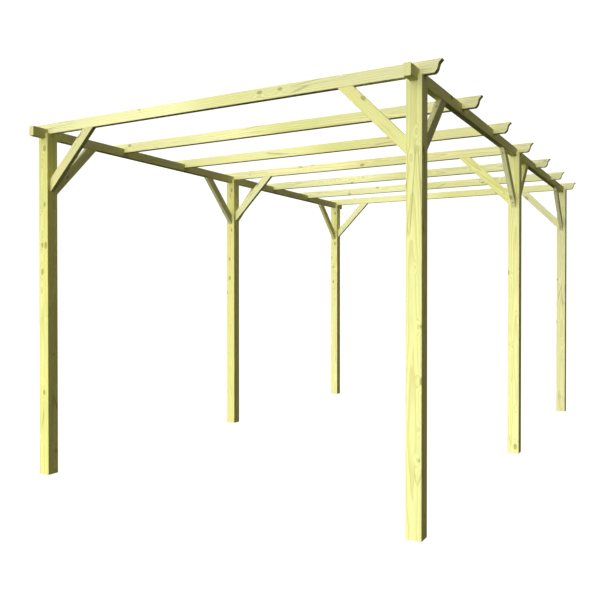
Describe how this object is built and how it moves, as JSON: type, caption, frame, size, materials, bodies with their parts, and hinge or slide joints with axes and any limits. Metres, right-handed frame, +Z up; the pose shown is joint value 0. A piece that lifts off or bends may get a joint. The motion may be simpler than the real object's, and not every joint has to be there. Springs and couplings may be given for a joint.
{
  "type": "wooden pergola",
  "caption": "Free-standing open garden frame: two rows of square posts carry side beams, with notched rafters across them, ogee tails and knee braces.",
  "frame": {"origin": "on the ground at the centre of the plan, below the middle rafter", "axes": "+X to the right seen from the front, +Y from the front to the rear along the beams, +Z up"},
  "size_m": [2.634, 4.252, 2.155],
  "materials": {
    "post_wood": "planed, pressure-treated softwood",
    "beam_wood": "planed, pressure-treated softwood",
    "rafter_wood": "planed, pressure-treated softwood",
    "brace_wood": "planed, pressure-treated softwood"
  },
  "bodies": {
    "root": {"front_left_post": "post_wood", "middle_left_post": "post_wood", "rear_left_post": "post_wood", "front_right_post": "post_wood", "middle_right_post": "post_wood", "rear_right_post": "post_wood", "left_beam": "beam_wood", "right_beam": "beam_wood", "front_rafter": "rafter_wood", "second_rafter": "rafter_wood", "third_rafter": "rafter_wood", "middle_rafter": "rafter_wood", "fifth_rafter": "rafter_wood", "sixth_rafter": "rafter_wood", "rear_rafter": "rafter_wood", "front_left_rafter_brace": "brace_wood", "middle_left_rafter_brace": "brace_wood", "rear_left_rafter_brace": "brace_wood", "front_right_rafter_brace": "brace_wood", "middle_right_rafter_brace": "brace_wood", "rear_right_rafter_brace": "brace_wood", "front_left_beam_brace": "brace_wood", "middle_left_fore_beam_brace": "brace_wood", "middle_left_aft_beam_brace": "brace_wood", "rear_left_beam_brace": "brace_wood", "front_right_beam_brace": "brace_wood", "middle_right_fore_beam_brace": "brace_wood", "middle_right_aft_beam_brace": "brace_wood", "rear_right_beam_brace": "brace_wood"}
  },
  "joints": []
}
